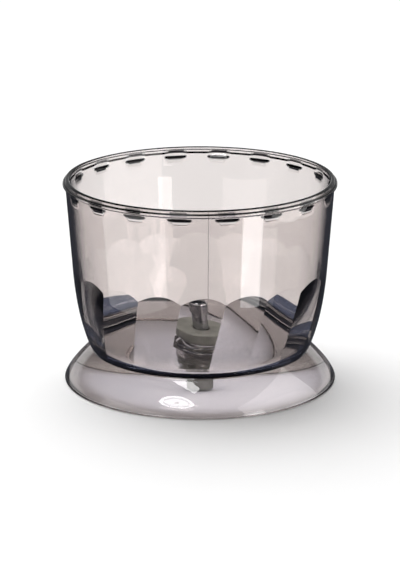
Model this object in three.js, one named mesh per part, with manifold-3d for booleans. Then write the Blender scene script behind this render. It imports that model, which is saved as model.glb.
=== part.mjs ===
// Chopper bowl of a hand blender: a clear moulded bowl on a flared foot, with a steel blade pin
// standing in a plastic hub at the middle of its floor.
// Millimetres, +Z up. The origin is the centre of the foot, on the worktop.
import * as THREE from "three";
import { mergeVertices } from "three/addons/utils/BufferGeometryUtils.js";
import Module from "manifold-3d";

const wasm = await Module();
wasm.setup();

// Bowl, outside.
const HEIGHT = 95.9;
const FOOT_RADIUS = 63.4; // largest radius of the flared foot
const WAIST_RADIUS = 50.9; // crease where the wall meets the foot
const WAIST_Z = 15.3;
const FOOT_BEND_RADIUS = 60.9; // the foot's side bends towards this point
const FOOT_BEND_Z = 6.6;
const WALL_BEND_Z = 29.3; // the lower wall bends towards the upper wall's line at this height
const SHOULDER_RADIUS = 59; // the wall is straight above this point and curves in below it
const SHOULDER_Z = 52.3;
const WALL_TOP_RADIUS = 61.95; // outside of the wall just under the rim's flange
const FLANGE_RADIUS = 63.2;
const FLANGE_EDGE_HEIGHT = 1.2;
const FLANGE_TAPER_HEIGHT = 0.9; // the flange's underside slopes down to the wall by this much
const LIP_RADIUS = 61.9; // outside of the lip that stands on the flange
const LIP_HEIGHT = 1.5;
const LIP_ROUND = 0.2;
const EDGE_ROUND = 0.4; // small radius on the moulded edges

// Bowl, inside.
const MOUTH_RADIUS = 60.3;
const CUSP_RADIUS = 57; // where two neighbouring facets meet the round upper wall
const CUSP_Z = 51.3;
const FLOOR_Z = 16;
const FLOOR_THICKNESS = 2.6;
const FACET_FOOT_RADIUS = 50.4; // corner to centre where the facets end
const COVE_RADIUS = 4.3; // rounds the feet of the facets into the floor
const FACET_FOOT_Z = FLOOR_Z + COVE_RADIUS;

// The swirl of facets round the lower wall.
const FACETS = 18;
const FACET_CROWN = 0.45; // 0 is a flat facet, 1 follows the round wall
const CUSP_AZIMUTH = -8.5; // degrees from the front, towards +X, of one cusp
const SWIRL = 0.221; // degrees that a facet edge turns for each millimetre of height

// Foot, inside.
const FOOT_WALL = 2.2;
const FOOT_BORE_RADIUS = FOOT_RADIUS - FOOT_WALL;
const UNDERFLOOR_RADIUS = 46.5;

// Hub, blade pin and what holds them in the floor.
const COLLAR_RADIUS = 10.2; // raised ring of the floor that the hub stands on
const COLLAR_HEIGHT = 1.4;
const BOSS_RADIUS = 8.6; // boss under the floor that the hub's shank goes through
const BOSS_DEPTH = 3.5;
const HUB_TOP_Z = 21.2;
const HUB_RADIUS = 8.2;
const HUB_HEAD_HEIGHT = 2.8;
const HUB_NECK_RADIUS = 6.8;
const HUB_SHANK_RADIUS = 6;
const HUB_FOOT_Z = 1;
const PIN_RADIUS = 2.5;
const PIN_HEAD_RADIUS = 3;
const PIN_HEAD_Z = 25.8;
const PIN_GROOVE = 0.35; // depth and half width of the turned groove under the pin's head
const PIN_TOP_Z = 30.6;
const PIN_FOOT_Z = 5;
const SEAL_WIRE_RADIUS = 0.8;
const SEAL_Z = 14;
const CLIP_RADIUS = 8.4;
const CLIP_GROOVE_DEPTH = 0.8;
const CLIP_THICKNESS = 1.2;
const CLIP_MOUTH = 70; // degrees of the ring left open
const FIT_GAP = 0.3; // between a piece and the one that holds it
const CLIP_Z = FLOOR_Z - FLOOR_THICKNESS - BOSS_DEPTH - FIT_GAP - CLIP_THICKNESS;

const SEGMENTS = 3 * FACETS; // round the bowl, a whole number for each facet
const FINE_SEGMENTS = 24; // round the small parts
const DEGREE = Math.PI / 180;

const CLEAR = { color: 0xc9c3c0, roughness: 0.08, metalness: 0, transparent: true, opacity: 0.4 };
const STEEL = { color: 0xb9bcbf, roughness: 0.18, metalness: 1 };
const HUB_GREY = { color: 0x565a52, roughness: 0.38, metalness: 0 };
const SEAL_BLACK = { color: 0x1c1d1f, roughness: 0.75, metalness: 0 };
const SPRING_STEEL = { color: 0x8d9194, roughness: 0.3, metalness: 1 };

const point = (r, z) => new THREE.Vector2(r, z);

// Points of a curve from one outline point to another, bent towards a control point.
function bend(from, control, to, steps) {
  return new THREE.QuadraticBezierCurve(from, control, to).getPoints(steps);
}

// A quarter round between two directions at an outline's corner.
function rounded(before, corner, after, radius) {
  const start = corner.clone().sub(before).setLength(radius);
  const end = after.clone().sub(corner).setLength(radius);
  return bend(corner.clone().sub(start), corner, corner.clone().add(end), 2);
}

// Turns an outline of (radius, height) points round the Z axis. Azimuth 0 is the front, -Y.
function turned(outline, segments) {
  const geometry = new THREE.LatheGeometry(outline, segments);
  return geometry.rotateX(Math.PI / 2);
}

// The solid inside a closed geometry.
function solid(geometry) {
  geometry.deleteAttribute("normal");
  geometry.deleteAttribute("uv");
  const merged = mergeVertices(geometry, 1e-4);
  const mesh = new wasm.Mesh({
    numProp: 3,
    vertProperties: merged.attributes.position.array,
    triVerts: new Uint32Array(merged.index.array),
  });
  return new wasm.Manifold(mesh);
}

// A named mesh made from a solid.
function part(name, body, finish) {
  const mesh = body.getMesh();
  const geometry = new THREE.BufferGeometry();
  geometry.setAttribute("position", new THREE.BufferAttribute(mesh.vertProperties, 3));
  geometry.setIndex(new THREE.BufferAttribute(mesh.triVerts, 1));
  geometry.computeVertexNormals();
  const made = new THREE.Mesh(geometry, new THREE.MeshStandardMaterial(finish));
  made.name = name;
  return made;
}

// Outside of the bowl as a full body: foot, waist, wall, and the rim with its flange and lip.
function bowlEnvelope() {
  const footEdge = point(FOOT_RADIUS, 2 * EDGE_ROUND);
  const waist = point(WAIST_RADIUS, WAIST_Z);
  const shoulder = point(SHOULDER_RADIUS, SHOULDER_Z);
  const flangeTop = HEIGHT - LIP_HEIGHT;
  const flangeEdgeFoot = flangeTop - FLANGE_EDGE_HEIGHT;
  const wallTop = point(WALL_TOP_RADIUS, flangeEdgeFoot - FLANGE_TAPER_HEIGHT);
  const flangeEdge = point(FLANGE_RADIUS, flangeTop);
  const lipFoot = point(LIP_RADIUS, flangeTop);
  const lipEdge = point(LIP_RADIUS, HEIGHT);
  const wallSlope = (WALL_TOP_RADIUS - SHOULDER_RADIUS) / (wallTop.y - SHOULDER_Z);
  const wallBend = point(SHOULDER_RADIUS - wallSlope * (SHOULDER_Z - WALL_BEND_Z), WALL_BEND_Z);
  const outline = [
    point(0, 0),
    ...rounded(point(0, 0), point(FOOT_RADIUS, 0), footEdge, 2 * EDGE_ROUND),
    ...bend(footEdge, point(FOOT_BEND_RADIUS, FOOT_BEND_Z), waist, 8),
    ...bend(waist, wallBend, shoulder, 8).slice(1),
    wallTop,
    point(FLANGE_RADIUS, flangeEdgeFoot),
    ...rounded(point(FLANGE_RADIUS, flangeEdgeFoot), flangeEdge, lipFoot, LIP_ROUND),
    lipFoot,
    ...rounded(lipFoot, lipEdge, point(0, HEIGHT), LIP_ROUND),
    point(0, HEIGHT),
  ];
  return solid(turned(outline, SEGMENTS));
}

// The round space inside the upper wall, run on down past the facets.
function roundCavity() {
  const slope = (MOUTH_RADIUS - CUSP_RADIUS) / (HEIGHT - CUSP_Z);
  const radiusAt = (z) => CUSP_RADIUS + slope * (z - CUSP_Z);
  const outline = [
    point(0, FLOOR_Z - 1),
    point(radiusAt(FLOOR_Z - 1), FLOOR_Z - 1),
    point(radiusAt(HEIGHT - LIP_ROUND), HEIGHT - LIP_ROUND),
    point(MOUTH_RADIUS + LIP_ROUND, HEIGHT),
    point(MOUTH_RADIUS + LIP_ROUND, HEIGHT + 1),
    point(0, HEIGHT + 1),
  ];
  return solid(turned(outline, SEGMENTS));
}

// How far out the faceted core reaches at an angle from the middle of a facet, as a share of
// its corner radius.
function facetReach(angle) {
  const half = Math.PI / FACETS;
  const flat = Math.cos(half) / Math.cos(angle);
  return flat + FACET_CROWN * (1 - flat);
}

// A swirled, many-sided core that opens upwards: its sides are the facets of the lower wall.
function facetedCore() {
  const slope = (CUSP_RADIUS - FACET_FOOT_RADIUS) / (CUSP_Z - FACET_FOOT_Z);
  const top = HEIGHT + 2;
  const rows = 13;
  const coveSteps = 4;
  const outline = [point(0, FLOOR_Z)];
  for (let step = 0; step < coveSteps; step++) {
    const angle = (step / coveSteps) * (Math.PI / 2);
    const radius = FACET_FOOT_RADIUS - COVE_RADIUS * (1 - Math.sin(angle));
    outline.push(point(radius, FACET_FOOT_Z - COVE_RADIUS * Math.cos(angle)));
  }
  for (let row = 0; row <= rows; row++) {
    const z = FACET_FOOT_Z + ((top - FACET_FOOT_Z) * row) / rows;
    outline.push(point(FACET_FOOT_RADIUS + slope * (z - FACET_FOOT_Z), z));
  }
  outline.push(point(0, top));
  const geometry = turned(outline, SEGMENTS);
  const place = geometry.attributes.position;
  const step = (2 * Math.PI) / FACETS;
  for (let i = 0; i < place.count; i++) {
    const [x, y, z] = [place.getX(i), place.getY(i), place.getZ(i)];
    const azimuth = Math.atan2(x, -y);
    const fromCorner = azimuth - step * Math.floor(azimuth / step + 1e-6);
    const radius = Math.hypot(x, y) * facetReach(fromCorner - step / 2);
    const turn = azimuth + (CUSP_AZIMUTH + SWIRL * (z - CUSP_Z)) * DEGREE;
    place.setXYZ(i, radius * Math.sin(turn), -radius * Math.cos(turn), z);
  }
  return solid(geometry);
}

// The hollow under the floor, open at the worktop, with the boss left standing in it.
function underfloorHollow() {
  const ceiling = FLOOR_Z - FLOOR_THICKNESS;
  const bendPoint = point(FOOT_BEND_RADIUS - FOOT_WALL, FOOT_BEND_Z);
  const outline = [
    point(BOSS_RADIUS, ceiling),
    point(BOSS_RADIUS, ceiling - BOSS_DEPTH),
    point(0, ceiling - BOSS_DEPTH),
    point(0, -1),
    point(FOOT_BORE_RADIUS, -1),
    ...bend(point(FOOT_BORE_RADIUS, 0), bendPoint, point(UNDERFLOOR_RADIUS, ceiling), 8),
  ];
  outline.push(outline[0].clone());
  return solid(turned(outline, SEGMENTS));
}

// A plain turned disc or ring band between two heights.
function disc(radius, low, high, segments) {
  return solid(turned([point(0, low), point(radius, low), point(radius, high), point(0, high)], segments));
}

function bowl() {
  const collar = disc(COLLAR_RADIUS, FLOOR_Z - 1, FLOOR_Z + COLLAR_HEIGHT, SEGMENTS);
  const bore = disc(HUB_SHANK_RADIUS + FIT_GAP, 0, HEIGHT, FINE_SEGMENTS);
  const cavity = roundCavity().intersect(facetedCore());
  return bowlEnvelope().subtract(cavity).subtract(underfloorHollow()).add(collar).subtract(bore);
}

// A groove turned into the hub's shank, as the three sides of its outline from below.
function groove(low, high, depth) {
  const bottom = HUB_SHANK_RADIUS - depth;
  return [
    point(HUB_SHANK_RADIUS, low),
    point(bottom, low),
    point(bottom, high),
    point(HUB_SHANK_RADIUS, high),
  ];
}

// Hub of the blade pin: a head and neck that stand on the collar, and a shank that goes down
// through the floor, grooved for the seal and for the spring clip.
function pinHub() {
  const neckFoot = FLOOR_Z + COLLAR_HEIGHT + FIT_GAP;
  const headFoot = HUB_TOP_Z - HUB_HEAD_HEIGHT;
  const foot = point(HUB_SHANK_RADIUS, HUB_FOOT_Z);
  const headLow = point(HUB_RADIUS, headFoot);
  const headHigh = point(HUB_RADIUS, HUB_TOP_Z);
  const sealHalf = SEAL_WIRE_RADIUS + FIT_GAP;
  const outline = [
    point(0, HUB_FOOT_Z),
    ...rounded(point(0, HUB_FOOT_Z), foot, point(HUB_SHANK_RADIUS, HUB_TOP_Z), EDGE_ROUND),
    ...groove(CLIP_Z - FIT_GAP, CLIP_Z + CLIP_THICKNESS + FIT_GAP, CLIP_GROOVE_DEPTH),
    ...groove(SEAL_Z - sealHalf, SEAL_Z + sealHalf, 2 * SEAL_WIRE_RADIUS + FIT_GAP),
    point(HUB_SHANK_RADIUS, neckFoot),
    point(HUB_NECK_RADIUS, neckFoot),
    point(HUB_NECK_RADIUS, headFoot),
    ...rounded(point(0, headFoot), headLow, headHigh, EDGE_ROUND),
    ...rounded(headLow, headHigh, point(0, HUB_TOP_Z), EDGE_ROUND),
    point(0, HUB_TOP_Z),
  ];
  const socket = disc(PIN_RADIUS + FIT_GAP, PIN_FOOT_Z - FIT_GAP, HEIGHT, FINE_SEGMENTS);
  return solid(turned(outline, FINE_SEGMENTS)).subtract(socket);
}

// Steel pin pressed into the hub: a plain shank, a groove and a thicker head with a domed end.
function bladePin() {
  const domeFoot = point(PIN_HEAD_RADIUS, PIN_TOP_Z - 1.2);
  const outline = [
    point(0, PIN_FOOT_Z),
    point(PIN_RADIUS, PIN_FOOT_Z),
    point(PIN_RADIUS, PIN_HEAD_Z - PIN_GROOVE),
    point(PIN_RADIUS - PIN_GROOVE, PIN_HEAD_Z - PIN_GROOVE),
    point(PIN_RADIUS - PIN_GROOVE, PIN_HEAD_Z + PIN_GROOVE),
    point(PIN_HEAD_RADIUS, PIN_HEAD_Z + PIN_GROOVE),
    ...bend(domeFoot, point(PIN_HEAD_RADIUS, PIN_TOP_Z), point(0, PIN_TOP_Z), 6),
  ];
  return solid(turned(outline, FINE_SEGMENTS));
}

// Rubber ring in the hub's upper groove, which keeps the bowl watertight.
function hubSeal() {
  const ring = HUB_SHANK_RADIUS + FIT_GAP - SEAL_WIRE_RADIUS - FIT_GAP / 2;
  const geometry = new THREE.TorusGeometry(ring, SEAL_WIRE_RADIUS, 10, FINE_SEGMENTS);
  return solid(geometry.translate(0, 0, SEAL_Z));
}

// Open spring ring in the hub's lower groove, which holds the hub up against the boss.
function retainingClip() {
  const inner = HUB_SHANK_RADIUS - CLIP_GROOVE_DEPTH + FIT_GAP;
  const start = (CLIP_MOUTH / 2) * DEGREE;
  const end = 2 * Math.PI - start;
  const outline = new THREE.Shape();
  outline.absarc(0, 0, CLIP_RADIUS, start, end, false);
  outline.absarc(0, 0, inner, end, start, true);
  const geometry = new THREE.ExtrudeGeometry(outline, {
    depth: CLIP_THICKNESS,
    bevelEnabled: false,
    curveSegments: FINE_SEGMENTS,
  });
  return solid(geometry.translate(0, 0, CLIP_Z));
}

const group = new THREE.Group();
group.add(part("bowl", bowl(), CLEAR));
group.add(part("pin_hub", pinHub(), HUB_GREY));
group.add(part("blade_pin", bladePin(), STEEL));
group.add(part("hub_seal", hubSeal(), SEAL_BLACK));
group.add(part("retaining_clip", retainingClip(), SPRING_STEEL));
export default group;
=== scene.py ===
import math

import bmesh
import bpy
import numpy as np
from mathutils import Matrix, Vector


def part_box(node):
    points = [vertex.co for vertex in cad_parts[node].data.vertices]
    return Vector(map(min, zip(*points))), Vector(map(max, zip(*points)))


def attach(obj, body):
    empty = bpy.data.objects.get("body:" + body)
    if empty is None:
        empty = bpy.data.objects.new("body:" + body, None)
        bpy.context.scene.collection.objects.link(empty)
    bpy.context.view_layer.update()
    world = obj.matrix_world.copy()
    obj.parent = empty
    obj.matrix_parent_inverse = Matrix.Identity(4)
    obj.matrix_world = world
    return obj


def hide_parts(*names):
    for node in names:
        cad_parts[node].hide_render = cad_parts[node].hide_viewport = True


# The looks of a clear chopper bowl, its hub and its blade pin. Lengths are in millimetres until
# a mesh is made, and azimuths are in degrees from the front (-Y) towards +X.
MM = 0.001
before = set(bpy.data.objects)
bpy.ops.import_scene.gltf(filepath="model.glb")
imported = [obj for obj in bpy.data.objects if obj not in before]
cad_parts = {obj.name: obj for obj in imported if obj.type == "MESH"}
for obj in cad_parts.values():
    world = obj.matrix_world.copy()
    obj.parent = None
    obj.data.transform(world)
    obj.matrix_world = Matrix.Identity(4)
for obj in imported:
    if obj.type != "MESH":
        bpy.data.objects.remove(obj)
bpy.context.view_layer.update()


def cad_mm(node):
    """The lowest and highest corner of a CAD node, in millimetres."""
    low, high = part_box(node)
    return low / MM, high / MM


bowl_high = cad_mm("bowl")[1]
hub_low, hub_high = cad_mm("pin_hub")
pin_low, pin_high = cad_mm("blade_pin")
seal_low, seal_high = cad_mm("hub_seal")
clip_low, clip_high = cad_mm("retaining_clip")

# ---------------------------------------------------------------- sizes of the bowl
HEIGHT = bowl_high.z
FOOT_RADIUS = bowl_high.y
WAIST_RADIUS, WAIST_Z = 50.9, 15.3
FOOT_BEND = (60.9, 6.6)
WALL_BEND_Z = 29.3
SHOULDER_RADIUS, SHOULDER_Z = 59.0, 52.3
WALL_TOP_RADIUS = 61.95
FLANGE_RADIUS = 63.2
FLANGE_TOP_Z = HEIGHT - 1.5
FLANGE_EDGE_FOOT_Z = FLANGE_TOP_Z - 1.2
WALL_TOP_Z = FLANGE_EDGE_FOOT_Z - 0.9
LIP_RADIUS = 61.9
FOOT_WALL = 2.2

MOUTH_RADIUS = 60.3
CUSP_RADIUS, CUSP_Z = 57.0, 51.3
FLOOR_Z = 16.0
UNDERFLOOR_Z = FLOOR_Z - 2.6
UNDERFLOOR_RADIUS = 46.5
FACET_FOOT_RADIUS = 50.4
COVE_RADIUS = 4.3
FACET_FOOT_Z = FLOOR_Z + COVE_RADIUS
ROUND_SLOPE = (MOUTH_RADIUS - CUSP_RADIUS) / (HEIGHT - CUSP_Z)
FACET_SLOPE = (CUSP_RADIUS - FACET_FOOT_RADIUS) / (CUSP_Z - FACET_FOOT_Z)

FACETS = 18
FACET_CROWN = 0.45  # 0 is a flat facet, 1 follows the round wall
CUSP_AZIMUTH = -8.5
SWIRL = 0.221  # degrees that a facet edge turns for each millimetre of height

# One low rib under the rim at the middle of each facet.
RIB_FOOT_Z = 90.7
RIB_WIDTH = 8.6
RIB_HEIGHT = 0.65
RIB_DEPTH = 0.5
RIB_SECTION = np.radians([90, 80, 70, 60, 50, 40, 25, 10, -10])
RIB_FLATTENING = 0.2  # the section's lowest part is cut off flat at this share of its radius

FIT_GAP = 0.3  # between a piece and the one that holds it
COLLAR_RADIUS = 10.2
COLLAR_TOP_Z = FLOOR_Z + 1.4
HUB_RADIUS = hub_high.x
HUB_HEAD_FOOT_Z = hub_high.z - 2.8
HUB_NECK_RADIUS = 6.8
SHANK_RADIUS = 6.0
BORE_RADIUS = SHANK_RADIUS + FIT_GAP
BOSS_RADIUS = 8.6
BOSS_FOOT_Z = UNDERFLOOR_Z - 3.5
PIN_HEAD_RADIUS = pin_high.x
PIN_RADIUS = 2.5
PIN_HEAD_Z = 25.8
PIN_GROOVE = 0.35  # depth and half width of the groove under the pin's head
CLIP_GROOVE_DEPTH = 0.8
SEAL_GROOVE_DEPTH = 1.9

COLUMNS_PER_FACET = 14
COLUMNS = FACETS * COLUMNS_PER_FACET
SMALL_COLUMNS = 96


# ---------------------------------------------------------------- mesh tools
def bend(start, control, end, steps):
    """Points of a curve from start to end, drawn towards control."""
    t = np.linspace(0, 1, steps + 1)[:, None]
    start, control, end = (np.array(p, float) for p in (start, control, end))
    return [tuple(p) for p in (1 - t) ** 2 * start + 2 * t * (1 - t) * control + t * t * end]


def rounded(before, corner, after, radius, steps=4):
    """A rounded corner of an outline, with a support point just outside each end of the round."""
    before, corner, after = (np.array(p, float) for p in (before, corner, after))
    inward = (before - corner) / np.linalg.norm(before - corner)
    outward = (after - corner) / np.linalg.norm(after - corner)
    support = 0.06 * radius
    start = corner + inward * radius
    end = corner + outward * radius
    curve = bend(start, corner, end, steps)
    return [tuple(start + inward * support), *curve, tuple(end + outward * support)]


def object_from(name, points, faces, sharp=()):
    """A smooth-shaded mesh object; sharp holds pairs of point numbers whose edges stay crisp."""
    mesh = bpy.data.meshes.new(name)
    mesh.from_pydata([tuple(p) for p in np.asarray(points) * MM], [], faces)
    made = bmesh.new()
    made.from_mesh(mesh)
    bmesh.ops.recalc_face_normals(made, faces=made.faces)
    for face in made.faces:
        face.smooth = True
    crisp = set(sharp)
    for edge in made.edges:
        ends = sorted(v.index for v in edge.verts)
        edge.smooth = tuple(ends) not in crisp
    made.to_mesh(mesh)
    made.free()
    obj = bpy.data.objects.new(name, mesh)
    bpy.context.collection.objects.link(obj)
    return obj


def ring_faces(rows, columns, closed):
    """Quads between neighbouring rings of points, and between the last and the first if closed."""
    faces = []
    for row in range(rows if closed else rows - 1):
        above = (row + 1) % rows
        for column in range(columns):
            beside = (column + 1) % columns
            faces.append((row * columns + column, above * columns + column,
                          above * columns + beside, row * columns + beside))
    return faces


def turned(name, outline, closed=False):
    """Turns an outline of (radius, height) points; an open one starts and ends on the axis."""
    columns = SMALL_COLUMNS
    angle = np.arange(columns) * 2 * math.pi / columns
    rings = outline if closed else outline[1:-1]
    points = [(r * math.sin(a), -r * math.cos(a), z) for r, z in rings for a in angle]
    faces = ring_faces(len(rings), columns, closed)
    if not closed:
        for end, row in ((outline[0], 0), (outline[-1], len(rings) - 1)):
            centre = len(points)
            points.append((0, 0, end[1]))
            first = row * columns
            faces += [(first + c, first + (c + 1) % columns, centre) for c in range(columns)]
    return object_from(name, points, faces)


# ---------------------------------------------------------------- the bowl
class BowlShell:
    """Rings of points that go once round the section of the bowl's wall, floor and foot."""

    def __init__(self):
        self.column = np.arange(COLUMNS)
        self.step = 2 * math.pi / COLUMNS
        self.rings = []
        self.crisp_rings = []

    def ring(self, radius, height, azimuth=CUSP_AZIMUTH):
        radius, height, azimuth = (np.broadcast_to(np.asarray(value, float), (COLUMNS,))
                                   for value in (radius, height, azimuth))
        angle = self.column * self.step + np.radians(azimuth)
        self.rings.append(np.stack([radius * np.sin(angle), -radius * np.cos(angle), height], -1))

    def line(self, points):
        for radius, height in points:
            self.ring(radius, height)

    def crisp(self):
        """Keeps the edge along the last ring crisp."""
        self.crisp_rings.append(len(self.rings) - 1)


def facet_reach():
    """How far out a facet lies at each column, as a share of its corner radius."""
    half = math.pi / FACETS
    share = (np.arange(COLUMNS) % COLUMNS_PER_FACET) / COLUMNS_PER_FACET
    flat = math.cos(half) / np.cos((share - 0.5) * 2 * half)
    return flat + FACET_CROWN * (1 - flat)


def swirl(height):
    """Azimuth of the facet edge that the columns start from, at a height."""
    return CUSP_AZIMUTH + SWIRL * (np.asarray(height, float) - CUSP_Z)


def rib_profile():
    """How much of a rib's depth is left at each column: all at its middle, none past its tips."""
    half_facet = COLUMNS_PER_FACET / 2
    offset = (np.arange(COLUMNS) + half_facet) % COLUMNS_PER_FACET - half_facet
    facet_width = 2 * math.pi * MOUTH_RADIUS / FACETS
    along = offset / COLUMNS_PER_FACET * facet_width / (RIB_WIDTH / 2)
    return np.clip(1 - along ** 2, 0, 1)


def foot_and_floor_underside(shell):
    bore_foot, boss_edge = (BORE_RADIUS, BOSS_FOOT_Z), (BOSS_RADIUS, BOSS_FOOT_Z)
    boss_root = (BOSS_RADIUS, UNDERFLOOR_Z)
    underfloor_edge = (UNDERFLOOR_RADIUS, UNDERFLOOR_Z)
    foot_inside = FOOT_RADIUS - FOOT_WALL
    foot_bend = (FOOT_BEND[0] - FOOT_WALL, FOOT_BEND[1])
    shell.ring(BORE_RADIUS, FLOOR_Z)
    shell.line(rounded((BORE_RADIUS, FLOOR_Z), bore_foot, boss_edge, 0.3))
    shell.line(rounded(bore_foot, boss_edge, boss_root, 0.3))
    shell.line(rounded(boss_edge, boss_root, underfloor_edge, 0.6))
    for share in (0.2, 0.45, 0.7, 0.9):
        shell.ring(BOSS_RADIUS + share * (UNDERFLOOR_RADIUS - BOSS_RADIUS), UNDERFLOOR_Z)
    shell.line(bend(underfloor_edge, foot_bend, (foot_inside, 1.0), 18))
    shell.line(rounded((foot_inside, 1.0), (foot_inside, 0), (FOOT_RADIUS, 0), 0.3))
    shell.line(rounded((foot_inside, 0), (FOOT_RADIUS, 0), (FOOT_RADIUS, 2), 0.6, 6))


def outer_wall(shell):
    slope = (WALL_TOP_RADIUS - SHOULDER_RADIUS) / (WALL_TOP_Z - SHOULDER_Z)
    wall_bend = (SHOULDER_RADIUS - slope * (SHOULDER_Z - WALL_BEND_Z), WALL_BEND_Z)
    waist = (WAIST_RADIUS, WAIST_Z)
    shoulder = (SHOULDER_RADIUS, SHOULDER_Z)
    shell.line(bend((FOOT_RADIUS, 0.75), FOOT_BEND, waist, 24)[1:])
    shell.crisp()
    shell.line(bend(waist, wall_bend, shoulder, 24)[1:])
    for share in (0.2, 0.4, 0.6, 0.8):
        height = SHOULDER_Z + share * (WALL_TOP_Z - SHOULDER_Z)
        shell.ring(SHOULDER_RADIUS + slope * (height - SHOULDER_Z), height)
    wall_top = (WALL_TOP_RADIUS, WALL_TOP_Z)
    flange_low, flange_high = (FLANGE_RADIUS, FLANGE_EDGE_FOOT_Z), (FLANGE_RADIUS, FLANGE_TOP_Z)
    lip_foot, lip_edge = (LIP_RADIUS, FLANGE_TOP_Z), (LIP_RADIUS, HEIGHT)
    mouth = (MOUTH_RADIUS, HEIGHT)
    shell.line(rounded(shoulder, wall_top, flange_low, 0.3))
    shell.line(rounded(wall_top, flange_low, flange_high, 0.2))
    shell.line(rounded(flange_low, flange_high, lip_foot, 0.6, 6))
    shell.line(rounded(flange_high, lip_foot, lip_edge, 0.15))
    shell.line(rounded(lip_foot, lip_edge, mouth, 0.35, 6))
    shell.line(rounded(lip_edge, mouth, (CUSP_RADIUS, CUSP_Z), 0.35, 6))


def inner_wall(shell):
    """The round upper wall with its ribs, the arches where the facets start, and the facets."""
    reach = facet_reach()
    round_at_zero = CUSP_RADIUS - ROUND_SLOPE * CUSP_Z
    corner_at_zero = CUSP_RADIUS - FACET_SLOPE * CUSP_Z
    arch_z = (round_at_zero - reach * corner_at_zero) / (reach * FACET_SLOPE - ROUND_SLOPE)

    profile = rib_profile()
    rib_height = RIB_HEIGHT * np.maximum(profile, 0.1)
    for turn in RIB_SECTION:
        rise = (math.sin(turn) + RIB_FLATTENING) / (1 + RIB_FLATTENING)
        height = RIB_FOOT_Z + rise * rib_height
        wall = round_at_zero + ROUND_SLOPE * height
        shell.ring(wall - RIB_DEPTH * profile * math.cos(turn), height)
    shell.ring(round_at_zero + ROUND_SLOPE * RIB_FOOT_Z, RIB_FOOT_Z)
    for share in np.linspace(0, 1, 11)[1:]:
        height = RIB_FOOT_Z + share * (arch_z - RIB_FOOT_Z)
        azimuth = CUSP_AZIMUTH + share * (swirl(arch_z) - CUSP_AZIMUTH)
        shell.ring(round_at_zero + ROUND_SLOPE * height, height, azimuth)
    shell.crisp()
    arch_row = len(shell.rings) - 1

    for share in np.linspace(0, 1, 19)[1:]:
        height = arch_z + share * (FACET_FOOT_Z - arch_z)
        shell.ring(reach * (corner_at_zero + FACET_SLOPE * height), height, swirl(height))
    cove_centre = reach * FACET_FOOT_RADIUS - COVE_RADIUS
    for turn in np.radians([75, 60, 45, 30, 15, 0]):
        shell.ring(cove_centre + COVE_RADIUS * math.sin(turn),
                   FACET_FOOT_Z - COVE_RADIUS * math.cos(turn), swirl(FACET_FOOT_Z))
    return arch_row, len(shell.rings) - 1, cove_centre


def floor_and_collar(shell, cove_centre):
    for share in (0.04, 0.25, 0.5, 0.8):
        radius = cove_centre + share * (COLLAR_RADIUS + 1.5 - cove_centre)
        shell.ring(radius, FLOOR_Z, swirl(FACET_FOOT_Z))
    foot, top = (COLLAR_RADIUS, FLOOR_Z), (COLLAR_RADIUS, COLLAR_TOP_Z)
    bore_top = (BORE_RADIUS, COLLAR_TOP_Z)
    shell.line(rounded((20, FLOOR_Z), foot, top, 0.6))
    shell.line(rounded(foot, top, bore_top, 0.6))
    shell.line(rounded(top, bore_top, (BORE_RADIUS, FLOOR_Z), 0.3))


def make_bowl():
    shell = BowlShell()
    foot_and_floor_underside(shell)
    outer_wall(shell)
    arch_row, floor_row, cove_centre = inner_wall(shell)
    floor_and_collar(shell, cove_centre)
    sharp = set()
    for row in shell.crisp_rings:
        first = row * COLUMNS
        sharp |= {tuple(sorted((first + c, first + (c + 1) % COLUMNS))) for c in range(COLUMNS)}
    for row in range(arch_row, floor_row):
        first, below = row * COLUMNS, (row + 1) * COLUMNS
        sharp |= {(first + c, below + c) for c in range(0, COLUMNS, COLUMNS_PER_FACET)}
    faces = ring_faces(len(shell.rings), COLUMNS, closed=True)
    return object_from("clear_bowl", np.concatenate(shell.rings), faces, sharp)


# ---------------------------------------------------------------- hub, pin, seal and clip
def shank_groove(low, high, depth):
    """The four softened corners of a groove turned into the hub's shank, from below."""
    bottom = SHANK_RADIUS - depth
    corners = [(SHANK_RADIUS, low), (bottom, low), (bottom, high), (SHANK_RADIUS, high)]
    path = [(SHANK_RADIUS, hub_low.z), *corners, (SHANK_RADIUS, hub_high.z)]
    outline = []
    for before, corner, after in zip(path, corners, path[2:]):
        outline += rounded(before, corner, after, 0.1, 2)
    return outline


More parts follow.
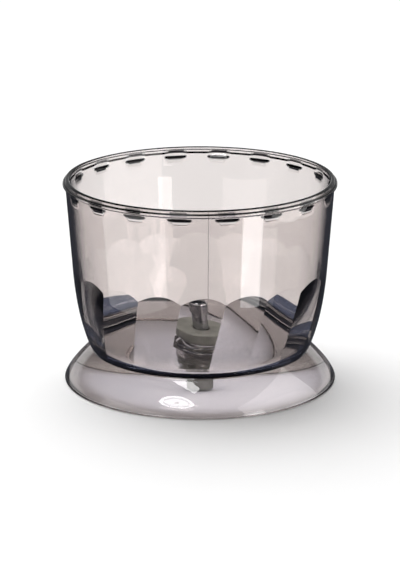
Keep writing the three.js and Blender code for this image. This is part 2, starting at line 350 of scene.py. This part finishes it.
def make_hub():
    """The hub, with a hollow in its foot, two grooves in its shank and a socket for the pin."""
    top, low = hub_high.z, hub_low.z
    dimple_edge, dimple_top = (3.4, low), (3.4, low + 0.5)
    foot_edge = (SHANK_RADIUS, low)
    neck_z = COLLAR_TOP_Z + FIT_GAP
    neck, neck_top = (HUB_NECK_RADIUS, neck_z), (HUB_NECK_RADIUS, HUB_HEAD_FOOT_Z)
    head_low, head_high = (HUB_RADIUS, HUB_HEAD_FOOT_Z), (HUB_RADIUS, top)
    socket = PIN_RADIUS + FIT_GAP
    socket_foot = pin_low.z - FIT_GAP
    return turned("hub", [
        (0, low + 0.5),
        *rounded((0, low + 0.5), dimple_top, dimple_edge, 0.15),
        *rounded(dimple_top, dimple_edge, foot_edge, 0.2),
        *rounded((0, low), foot_edge, (SHANK_RADIUS, clip_low.z), 0.5),
        *shank_groove(clip_low.z - FIT_GAP, clip_high.z + FIT_GAP, CLIP_GROOVE_DEPTH),
        *shank_groove(seal_low.z - FIT_GAP, seal_high.z + FIT_GAP, SEAL_GROOVE_DEPTH),
        *rounded(foot_edge, (SHANK_RADIUS, neck_z), neck, 0.15, 2),
        *rounded((SHANK_RADIUS, neck_z), neck, neck_top, 0.15, 2),
        *rounded(neck, neck_top, head_low, 0.25),
        *rounded(neck_top, head_low, head_high, 0.35),
        *rounded(head_low, head_high, (socket, top), 0.45, 6),
        *rounded(head_high, (socket, top), (socket, low), 0.2),
        *rounded((socket, top), (socket, socket_foot), (0, socket_foot), 0.2, 2),
        (0, socket_foot),
    ])


def make_pin():
    """The pin: a plain shank, a turned groove and a thicker head with a domed end."""
    low, top = pin_low.z, pin_high.z
    neck, head = PIN_RADIUS - PIN_GROOVE, PIN_HEAD_RADIUS
    groove_low, groove_high = PIN_HEAD_Z - PIN_GROOVE, PIN_HEAD_Z + PIN_GROOVE
    shank_top, neck_low = (PIN_RADIUS, groove_low), (neck, groove_low)
    neck_high, head_low = (neck, groove_high), (head, groove_high)
    dome_edge = (head - 1.1, top - 0.12)
    return turned("turned_pin", [
        (0, low),
        *rounded((0, low), (PIN_RADIUS, low), shank_top, 0.3),
        *rounded((PIN_RADIUS, low), shank_top, neck_low, 0.1, 3),
        *rounded(shank_top, neck_low, neck_high, 0.08, 2),
        *rounded(neck_low, neck_high, head_low, 0.08, 2),
        *rounded(neck_high, head_low, (head, top), 0.18, 3),
        *bend((head, top - 1.3), (head, top - 0.2), dome_edge, 8),
        *bend(dome_edge, (head - 1.9, top - 0.02), (0, top), 6)[1:],
    ])


def make_seal():
    wire = (seal_high.z - seal_low.z) / 2
    middle_radius = seal_high.x - wire
    middle_z = (seal_high.z + seal_low.z) / 2
    angles = np.linspace(0, 2 * math.pi, 33)[:-1]
    outline = [(middle_radius + wire * math.cos(a), middle_z + wire * math.sin(a)) for a in angles]
    return turned("seal_ring", outline, closed=True)


def make_clip():
    """An open spring ring with rounded ends, stamped from sheet with softened edges."""
    outer = -clip_low.x
    inner = SHANK_RADIUS - CLIP_GROOVE_DEPTH + FIT_GAP
    middle, half = (outer + inner) / 2, (outer - inner) / 2
    low, high = clip_low.z, clip_high.z
    edge = 0.15
    bevel = 1 - edge / half
    section = [(-1, low + edge), (-1, high - edge), (-bevel, high), (bevel, high),
               (1, high - edge), (1, low + edge), (bevel, low), (-bevel, low)]
    mouth = math.radians(35)
    tip = half / middle
    start, end = mouth + tip, 2 * math.pi - mouth - tip
    stations = []
    for turn in np.radians(np.linspace(-90, 0, 9))[1:]:
        stations.append((start + tip * math.sin(turn), math.cos(turn)))
    for angle in np.linspace(start, end, 91)[1:-1]:
        stations.append((angle, 1.0))
    for turn in np.radians(np.linspace(0, 90, 9))[:-1]:
        stations.append((end + tip * math.sin(turn), math.cos(turn)))
    points = []
    for angle, width in stations:
        for side, height in section:
            radius = middle + half * side * width
            points.append((radius * math.cos(angle), radius * math.sin(angle), height))
    count = len(section)
    last = (len(stations) - 1) * count
    faces = ring_faces(len(stations), count, closed=False)
    faces += [tuple(range(count)), tuple(range(last, last + count))]
    return object_from("spring_clip", points, faces)


# ---------------------------------------------------------------- materials
class Nodes:
    """Short ways to add nodes to a tree. Where a value goes in, so does another node's output."""

    def __init__(self, tree):
        self.tree = tree

    def feed(self, socket, value):
        if isinstance(value, bpy.types.NodeSocket):
            self.tree.links.new(value, socket)
        else:
            socket.default_value = value

    def node(self, kind, inputs=None, **settings):
        made = self.tree.nodes.new(kind)
        for name, value in settings.items():
            setattr(made, name, value)
        for name, value in (inputs or {}).items():
            self.feed(made.inputs[name], value)
        return made

    def calc(self, operation, first, second=0.0):
        return self.node("ShaderNodeMath", {0: first, 1: second}, operation=operation).outputs[0]

    def vector(self, operation, first, second=(0, 0, 0)):
        inputs = {0: first, 1: second}
        return self.node("ShaderNodeVectorMath", inputs, operation=operation).outputs

    def axis(self, vector, name):
        return self.node("ShaderNodeSeparateXYZ", {"Vector": vector}).outputs[name]

    def spread(self, value, low, high, start=0.35, end=0.65, curve="LINEAR"):
        """Low until value reaches start, high from end on, and a blend in between."""
        inputs = {"Value": value, "From Min": start, "From Max": end, "To Min": low, "To Max": high}
        return self.node("ShaderNodeMapRange", inputs, interpolation_type=curve).outputs[0]

    def above(self, value, start, end):
        return self.spread(value, 0.0, 1.0, start, end)

    def below(self, value, start, end):
        return self.spread(value, 1.0, 0.0, start, end)

    def both(self, first, second):
        return self.calc("MULTIPLY", first, second)

    def either(self, first, second):
        return self.calc("MAXIMUM", first, second)

    def mix(self, share, first, second, blend="MIX"):
        inputs = {0: share, 6: first, 7: second}
        made = self.node("ShaderNodeMix", inputs, data_type="RGBA", blend_type=blend)
        return made.outputs[2]

    def ramp(self, share, stops):
        """A colour for each share, from stops of (position, colour) with the lowest first."""
        made = self.node("ShaderNodeValToRGB", {0: share})
        elements = made.color_ramp.elements
        elements[0].position, elements[0].color = stops[0]
        elements[1].position, elements[1].color = stops[-1]
        for position, colour in stops[1:-1]:
            elements.new(position).color = colour
        return made.outputs[0]


class Finish(Nodes):
    """A material with a Principled shader."""

    def __init__(self, name):
        self.material = bpy.data.materials.new(name)
        self.material.use_nodes = True
        super().__init__(self.material.node_tree)
        self.shader = self.tree.nodes["Principled BSDF"]
        self.output = self.tree.nodes["Material Output"]
        self.place = self.node("ShaderNodeTexCoord").outputs["Object"]

    def put(self, name, value):
        self.feed(self.shader.inputs[name], value)

    def noise(self, scale, detail=3.0, stretch=(1, 1, 1)):
        mapped = self.node("ShaderNodeMapping", {"Vector": self.place, "Scale": stretch})
        inputs = {"Vector": mapped.outputs[0], "Scale": scale, "Detail": detail}
        return self.node("ShaderNodeTexNoise", inputs).outputs["Fac"]

    def bump(self, height, distance, strength):
        inputs = {"Height": height, "Distance": distance, "Strength": strength}
        self.put("Normal", self.node("ShaderNodeBump", inputs).outputs[0])


# Tints of the clear plastic's surface, some of them painted light and shade, and the colour that
# its depth gives.
SMOKE_COLOUR = (0.32, 0.27, 0.25, 1)
SMOKE_DENSITY = 36.0
SMOKE_TINT = (0.83, 0.785, 0.772, 1)
# painted light: a paler tint on the facets and floor, standing in for light carried through the
# plastic
FACET_PAINTED_LIGHT = (0.945, 0.91, 0.90, 1)
# painted shade: a darker tint on the sides of the foot below the waist
FOOT_PAINTED_SHADE = (0.66, 0.615, 0.6, 1)
# painted shade on walls seen nearly edge-on; the mould line uses the same dark
EDGE_SHADE_AND_LINE_DARK = (0.012, 0.012, 0.02, 1)
# painted shade: a dark navy band over the waist
WAIST_BAND_SHADE = (0.01, 0.014, 0.032, 1)
# painted shade: near black on the lip, the flange's level faces and the ribs
LEDGE_SHADE = (0.0008, 0.0008, 0.001, 1)
EDGE_START, EDGE_END = 0.60, 0.86  # how far round the wall turns away before painted shade darkens its edge
BAND_HEIGHT, BAND_RISE = 2.2, 0.0015  # the painted shade band over the waist, and how it grows with x squared
INNER_CONE_RADIUS, INNER_CONE_SLOPE = 51.0, 0.22  # passes between the facets and the outside
MOULD_LINE_AZIMUTH = 3.5
MOULD_LINE_FOOT_Z = 52.0


class BowlSpot:
    """Where a point lies on the bowl, in millimetres, and masks of the bowl's regions."""

    def __init__(self, finish):
        f = self.f = finish
        self.place = f.vector("MULTIPLY", f.place, (1 / MM, 1 / MM, 1 / MM))["Vector"]
        self.x, self.y, self.z = (f.axis(self.place, name) for name in "XYZ")
        flat_place = f.vector("MULTIPLY", self.place, (1, 1, 0))["Vector"]
        self.radius = f.vector("LENGTH", flat_place)["Value"]
        normal = f.node("ShaderNodeNewGeometry").outputs["Normal"]
        self.level = f.calc("ABSOLUTE", f.axis(normal, "Z"))  # 1 on a floor, 0 on a wall

    def lit_facets_and_floor(self):
        """The facets up to their arches, and both sides of the floor, which get painted light: a
        paler tint standing in for light carried through the plastic.
        """
        f = self.f
        lean = f.both(f.calc("SUBTRACT", self.z, FACET_FOOT_Z), INNER_CONE_SLOPE)
        from_cone = f.calc("SUBTRACT", self.radius, lean)
        inside = f.below(from_cone, INNER_CONE_RADIUS, INNER_CONE_RADIUS + 0.1)
        lean = f.both(f.calc("SUBTRACT", self.z, CUSP_Z), ROUND_SLOPE)
        from_round_wall = f.calc("SUBTRACT", self.radius, lean)
        under_arch = f.below(from_round_wall, CUSP_RADIUS - 0.12, CUSP_RADIUS - 0.04)
        over_foot = f.above(self.z, UNDERFLOOR_Z - 0.2, UNDERFLOOR_Z - 0.1)
        return f.both(f.both(inside, under_arch), over_foot)

    # The foot's sides below the waist, which get painted shade.
    def shaded_foot_sides(self):
        f = self.f
        return f.both(f.below(self.z, WAIST_Z - 0.3, WAIST_Z), f.below(self.level, 0.93, 0.95))

    def shaded_turned_away(self):
        """Walls seen nearly edge-on, which get painted shade."""
        f = self.f
        facing = f.node("ShaderNodeLayerWeight", {"Blend": 0.5}).outputs["Facing"]
        return f.both(f.above(facing, EDGE_START, EDGE_END), f.below(self.level, 0.3, 0.75))

    def waist_shade_band(self):
        """A band of painted shade on the outside over the waist, higher at the sides than at the
        front.
        """
        f = self.f
        rise = f.both(f.both(self.x, self.x), BAND_RISE)
        height = f.calc("SUBTRACT", f.calc("SUBTRACT", self.z, WAIST_Z), rise)
        band = f.both(f.below(height, BAND_HEIGHT, BAND_HEIGHT + 0.3),
                      f.above(self.z, WAIST_Z - 0.1, WAIST_Z))
        return f.both(band, f.above(self.radius, WAIST_RADIUS - 0.15, WAIST_RADIUS - 0.05))

    def mould_line(self):
        """A fine upright line on the front, fading out at the height of the arches."""
        f = self.f
        turn = math.radians(MOULD_LINE_AZIMUTH)
        across = f.vector("DOT_PRODUCT", self.place, (math.cos(turn), math.sin(turn), 0))["Value"]
        line = f.below(f.calc("ABSOLUTE", across), 0.1, 0.25)
        line = f.both(line, f.below(self.y, -30, 0))
        return f.both(line, f.spread(self.z, 0.0, 0.45, MOULD_LINE_FOOT_Z, MOULD_LINE_FOOT_Z + 4))

    def shaded_ledges(self):
        """The level faces of the lip and the flange, the lip's outer edge, and the ribs, which get
        painted shade: near black and passing no light.
        """
        f = self.f
        rib_heights = f.both(f.above(self.z, RIB_FOOT_Z - 0.4, RIB_FOOT_Z - 0.2),
                             f.below(self.z, WALL_TOP_Z - 0.5, WALL_TOP_Z - 0.4))
        rim_heights = f.above(self.z, FLANGE_TOP_Z - 0.65, FLANGE_TOP_Z - 0.5)
        sloping = f.both(f.above(self.level, 0.12, 0.3), f.either(rib_heights, rim_heights))
        proud = f.below(self.radius, MOUTH_RADIUS - 0.52, MOUTH_RADIUS - 0.44)
        lip_edge = f.both(f.above(self.radius, LIP_RADIUS - 0.4, LIP_RADIUS - 0.3),
                          f.above(self.z, HEIGHT - 0.5, HEIGHT - 0.4))
        return f.either(f.either(sloping, f.both(rib_heights, proud)), lip_edge)


def clear_plastic():
    """Smoke-tinted clear plastic. Its depth of colour comes from how far light travels in it. Its
    surface carries painted light, a paler tint on the facets and floor, and painted shade on the
    foot's sides, on walls seen edge-on, in a band over the waist and on the ledges, where the real
    one's edges pass light on to somewhere else."""
    f = Finish("clear_plastic")
    f.put("IOR", 1.57)
    f.put("Roughness", 0.0)
    spot = BowlSpot(f)
    shaded_ledges = spot.shaded_ledges()
    tint_and_painted_light = SMOKE_TINT
    # the smoke tint, then painted light on the facets and floor, painted shade on the foot, edges,
    # waist band and ledges, and the mould line
    for region, colour in ((spot.lit_facets_and_floor(), FACET_PAINTED_LIGHT), (spot.shaded_foot_sides(), FOOT_PAINTED_SHADE),
                           (spot.shaded_turned_away(), EDGE_SHADE_AND_LINE_DARK), (spot.waist_shade_band(), WAIST_BAND_SHADE),
                           (spot.mould_line(), EDGE_SHADE_AND_LINE_DARK), (shaded_ledges, LEDGE_SHADE)):
        tint_and_painted_light = f.mix(region, tint_and_painted_light, colour)
    f.put("Base Color", tint_and_painted_light)
    # no light passes the ledges with painted shade, so they show black
    f.put("Transmission Weight", f.below(shaded_ledges, 0.0, 1.0))
    f.bump(f.noise(38, 1.0, (1, 1, 0.4)), 0.00005, 0.06)
    inputs = {"Color": SMOKE_COLOUR, "Density": SMOKE_DENSITY}
    absorption = f.node("ShaderNodeVolumeAbsorption", inputs)
    f.feed(f.output.inputs["Volume"], absorption.outputs[0])
    return f.material


def hub_plastic():
    """Dark olive-grey plastic, faintly blotched, with a fine moulded grain."""
    f = Finish("hub_plastic")
    blotch = f.spread(f.noise(240, 4.0), 0, 1)
    f.put("Base Color", f.mix(blotch, (0.24, 0.24, 0.21, 1), (0.32, 0.32, 0.28, 1)))
    f.put("Roughness", f.spread(f.noise(900, 3.0), 0.32, 0.46))
    f.bump(f.noise(2600, 2.0), 0.00003, 0.5)
    return f.material


def pin_steel():
    """Polished steel with fine turning marks round it."""
    f = Finish("pin_steel")
    f.put("Metallic", 1.0)
    marks = f.noise(1500, 3.0, (0.15, 0.15, 3.0))
    f.put("Base Color", f.mix(f.spread(marks, 0, 1), (0.3, 0.3, 0.31, 1), (0.44, 0.44, 0.45, 1)))
    f.put("Roughness", f.spread(marks, 0.07, 0.15))
    f.bump(marks, 0.000006, 0.5)
    return f.material


def seal_rubber():
    """Black rubber with a grey bloom in patches."""
    f = Finish("seal_rubber")
    bloom = f.spread(f.noise(700, 4.0), 0, 1)
    f.put("Base Color", f.mix(bloom, (0.012, 0.012, 0.013, 1), (0.028, 0.028, 0.030, 1)))
    f.put("Roughness", f.spread(f.noise(1400, 3.0), 0.55, 0.75))
    f.bump(f.noise(3200, 2.0), 0.00002, 0.5)
    return f.material


def clip_steel():
    """Dull rolled spring steel."""
    f = Finish("clip_steel")
    f.put("Metallic", 1.0)
    rolled = f.noise(900, 4.0, (0.2, 3.0, 1.0))
    f.put("Base Color", f.mix(f.spread(rolled, 0, 1), (0.26, 0.27, 0.28, 1), (0.40, 0.41, 0.42, 1)))
    f.put("Roughness", f.spread(rolled, 0.25, 0.42))
    f.bump(rolled, 0.00001, 0.4)
    return f.material


def add_piece(piece, node, material):
    piece.data.materials.append(material)
    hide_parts(node)
    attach(piece, "root")


add_piece(make_bowl(), "bowl", clear_plastic())
add_piece(make_hub(), "pin_hub", hub_plastic())
add_piece(make_pin(), "blade_pin", pin_steel())
add_piece(make_seal(), "hub_seal", seal_rubber())
add_piece(make_clip(), "retaining_clip", clip_steel())

# ---------------------------------------------------------------- stage and light
MIDDLE = Vector((0, 0, 47 * MM))  # the point that lights face and the camera circles

WHITE = (1, 1, 1, 1)
STUDIO_DARK = (0.012, 0.013, 0.02, 1)
FLAG_DARK = (0.05, 0.052, 0.065, 1)  # how the table looks in most reflections

BACKDROP_TOP = 11.0  # degrees above the horizon where the white backdrop ends
CEILING_START = 15.0

# The sky that lights the floor: azimuth and elevation of its bright side, how wide that is (the
# cosine where it starts), and the brightness of its dark and bright sides.
KEY = (-150.0, 60.0)
KEY_SPREAD = 0.58
SKY_SHADE, SKY_GLOW = 0.08, 3.55

# A soft bright patch of ceiling.
LOBE = (60.0, 55.0)
LOBE_START, LOBE_END, LOBE_GLOW = 0.55, 0.95, 0.3

# Lights on poles: name, azimuth, elevation, distance, width and height in metres, and radiance.
SIDE_BOX = ("side_box", 72, 10, 0.26, 0.36, 0.32, 1.7)
TOP_BOX = ("top_box", -42, 72.5, 1.2, 0.55, 0.12, 9)
LOW_PANELS = (
    ("panel_284", -76, 8, 1.2, 0.38, 0.3, 1.5),
    ("panel_324", -36, 8, 1.2, 0.38, 0.3, 2.5),
    ("panel_44", 44, 8, 1.2, 0.38, 0.3, 3.0),
    ("panel_84", 84, 8, 1.2, 0.38, 0.3, 1.5),
)
# Cards standing on the table: name, start and end, height, all in millimetres, and radiance.
TABLE_CARDS = (
    ("right_strip", (80, -137), (112, -110), 60, 3.8),
    ("right_panel", (112, -110), (130, -82), 45, 0.7),
    ("left_panel", (-143, -38), (-66, -145), 60, 1.1),
)
# Shades of the round lamp from its middle to its edge.
LAMP_RINGS = ((0.0, 0.0), (0.1, 0.02), (0.2, 0.8), (0.6, 1.0),
              (0.68, 0.45), (0.76, 0.45), (0.84, 1.0), (1.0, 1.0))
TABLE_GLOW_RADIUS = 57
TABLE_GLOW_RADIANCE = 0.62


def direction(azimuth, elevation):
    azimuth, elevation = math.radians(azimuth), math.radians(elevation)
    flat = math.cos(elevation)
    return Vector((flat * math.sin(azimuth), -flat * math.cos(azimuth), math.sin(elevation)))


def link(name, data):
    obj = bpy.data.objects.new(name, data)
    bpy.context.collection.objects.link(obj)
    return obj


def turn_to(obj, facing):
    """Turns an object so that its -Z side looks along facing."""
    obj.rotation_euler = facing.to_track_quat("-Z", "Y").to_euler()


def make_floor():
    """A white table. In most reflections it looks dark, which gives the clear plastic its edges."""
    f = Finish("floor")
    patches = f.spread(f.noise(6, 2.0), 0, 1)
    f.put("Base Color", f.mix(patches, (0.9, 0.9, 0.9, 1), (0.91, 0.91, 0.91, 1)))
    f.put("Roughness", 1.0)
    f.put("Specular IOR Level", 0.0)
    path = f.node("ShaderNodeLightPath").outputs
    mirrored = f.calc("GREATER_THAN", path["Glossy Depth"], 0.5)
    near = f.calc("LESS_THAN", path["Transmission Depth"], 3.5)
    again = f.calc("GREATER_THAN", path["Glossy Depth"], 1.5)
    not_lighting = f.calc("LESS_THAN", path["Diffuse Depth"], 0.5)
    hidden = f.both(f.both(mirrored, f.either(near, again)), not_lighting)
    dark = f.node("ShaderNodeEmission", {"Color": FLAG_DARK, "Strength": 1.0}).outputs[0]
    shown = f.node("ShaderNodeMixShader", {0: hidden, 1: f.shader.outputs[0], 2: dark})
    f.feed(f.output.inputs["Surface"], shown.outputs[0])
    size = 3.0
    corners = [(-size, -size, 0), (size, -size, 0), (size, size, 0), (-size, size, 0)]
    mesh = bpy.data.meshes.new("floor")
    mesh.from_pydata(corners, [], [(0, 1, 2, 3)])
    mesh.materials.append(f.material)
    floor = link("floor", mesh)
    floor.location.z = -0.2 * MM


def make_sky():
    """White to the camera. The floor is lit by a sky that is brighter on one side, and gloss and
    clear plastic see a dark room with a white backdrop low down and a soft patch of ceiling."""
    world = bpy.data.worlds.new("studio")
    bpy.context.scene.world = world
    world.use_nodes = True
    world.cycles.sampling_method = "NONE"
    sky = Nodes(world.node_tree)
    place = sky.node("ShaderNodeTexCoord").outputs["Generated"]

    def share_at(elevation):
        return 0.5 + 0.5 * math.sin(math.radians(elevation))

    def toward(azimuth, elevation):
        return sky.vector("DOT_PRODUCT", place, direction(azimuth, elevation))["Value"]

    up = sky.axis(place, "Z")
    share = sky.calc("ADD", sky.calc("MULTIPLY", up, 0.5), 0.5)
    room = sky.ramp(share, ((0, WHITE), (share_at(BACKDROP_TOP), WHITE),
                            (share_at(CEILING_START), STUDIO_DARK), (1, STUDIO_DARK)))
    lobe = sky.spread(toward(*LOBE), 0.0, LOBE_GLOW, LOBE_START, LOBE_END, "SMOOTHSTEP")
    room = sky.mix(1.0, room, lobe, "ADD")
    glow = sky.spread(toward(*KEY), SKY_SHADE, SKY_GLOW, KEY_SPREAD, 1.0, "SMOOTHSTEP")
    path = sky.node("ShaderNodeLightPath").outputs
    lighting = sky.calc("GREATER_THAN", path["Diffuse Depth"], 0.5)
    seen = sky.mix(path["Is Camera Ray"], sky.mix(lighting, room, glow), WHITE)
    sky.feed(sky.tree.nodes["Background"].inputs["Color"], seen)


def hide_from_table(light):
    light.visible_camera = False
    light.visible_diffuse = False
    light.visible_shadow = False


def make_card(name, azimuth, elevation, distance, width, height, radiance):
    """A light that only gloss and clear plastic see, facing the bowl."""
    lamp = bpy.data.lights.new(name, "AREA")
    lamp.shape = "RECTANGLE"
    lamp.size = width
    lamp.size_y = height
    lamp.energy = radiance * width * height * math.pi
    card = link(name, lamp)
    away = direction(azimuth, elevation)
    card.location = MIDDLE + away * distance
    turn_to(card, -away)
    hide_from_table(card)
    return card


def stand_card(name, start, end, height, radiance):
    """A card that stands on the table between two points, facing the bowl; millimetres."""
    start, end = Vector((*start, 0)) * MM, Vector((*end, 0)) * MM
    run = end - start
    card = make_card(name, 0, 0, 1, run.length, height * MM, radiance)
    card.location = (start + end) / 2 + Vector((0, 0, height / 2 * MM))
    facing = Vector((-run.y, run.x, 0))
    if facing.dot(card.location) > 0:
        facing = -facing
    turn_to(card, facing)


def make_round_lamp():
    """A round lamp with a shaded ring and a dark hub, which the foot mirrors."""
    f = Finish("round_lamp")
    from_middle = f.vector("LENGTH", f.place)["Value"]
    stops = [(position, (shade, shade, shade, 1)) for position, shade in LAMP_RINGS]
    rings = f.ramp(from_middle, stops)
    glow = f.node("ShaderNodeEmission", {"Color": rings, "Strength": 9.0})
    f.feed(f.output.inputs["Surface"], glow.outputs[0])
    edge = [(math.cos(a), math.sin(a), 0) for a in np.linspace(0, 2 * math.pi, 65)[:-1]]
    mesh = bpy.data.meshes.new("round_lamp")
    mesh.from_pydata(edge, [], [tuple(range(len(edge)))])
    mesh.materials.append(f.material)
    lamp = link("round_lamp", mesh)
    away = direction(-27.5, 54)
    lamp.location = MIDDLE + away * 1.2
    lamp.scale = (0.26, 0.16, 1)
    turn_to(lamp, -away)
    hide_from_table(lamp)


def make_table_glow():
    """A low disc of light under the bowl that only the table sees."""
    lamp = bpy.data.lights.new("table_glow", "AREA")
    lamp.shape = "DISK"
    lamp.size = 2 * TABLE_GLOW_RADIUS * MM
    lamp.color = (0.9, 0.95, 1.12)
    lamp.energy = TABLE_GLOW_RADIANCE * math.pi * math.pi * (TABLE_GLOW_RADIUS * MM) ** 2
    glow = link("table_glow", lamp)
    glow.location = Vector((3, 3, 6)) * MM
    glow.visible_camera = False
    glow.visible_glossy = False
    glow.visible_transmission = False


def make_camera():
    """Looks down on the bowl from the front, a little above its rim."""
    data = bpy.data.cameras.new("camera")
    data.lens = 160.3
    data.sensor_width = 36
    data.sensor_fit = "AUTO"
    camera = link("camera", data)
    camera.location = MIDDLE + direction(0, 16.287) * 1.1814
    aim = MIDDLE - Vector((0, 0, 2.9 * MM))
    turn_to(camera, aim - camera.location)
    bpy.context.scene.camera = camera


make_floor()
make_sky()
make_card(*SIDE_BOX)
make_round_lamp()
make_card(*TOP_BOX)
for card in TABLE_CARDS:
    stand_card(*card)
for panel in LOW_PANELS:
    make_card(*panel)
make_table_glow()
make_camera()

scene = bpy.context.scene
scene.view_settings.view_transform = "Standard"
scene.cycles.max_bounces = 24
scene.cycles.transmission_bounces = 24
scene.cycles.glossy_bounces = 12
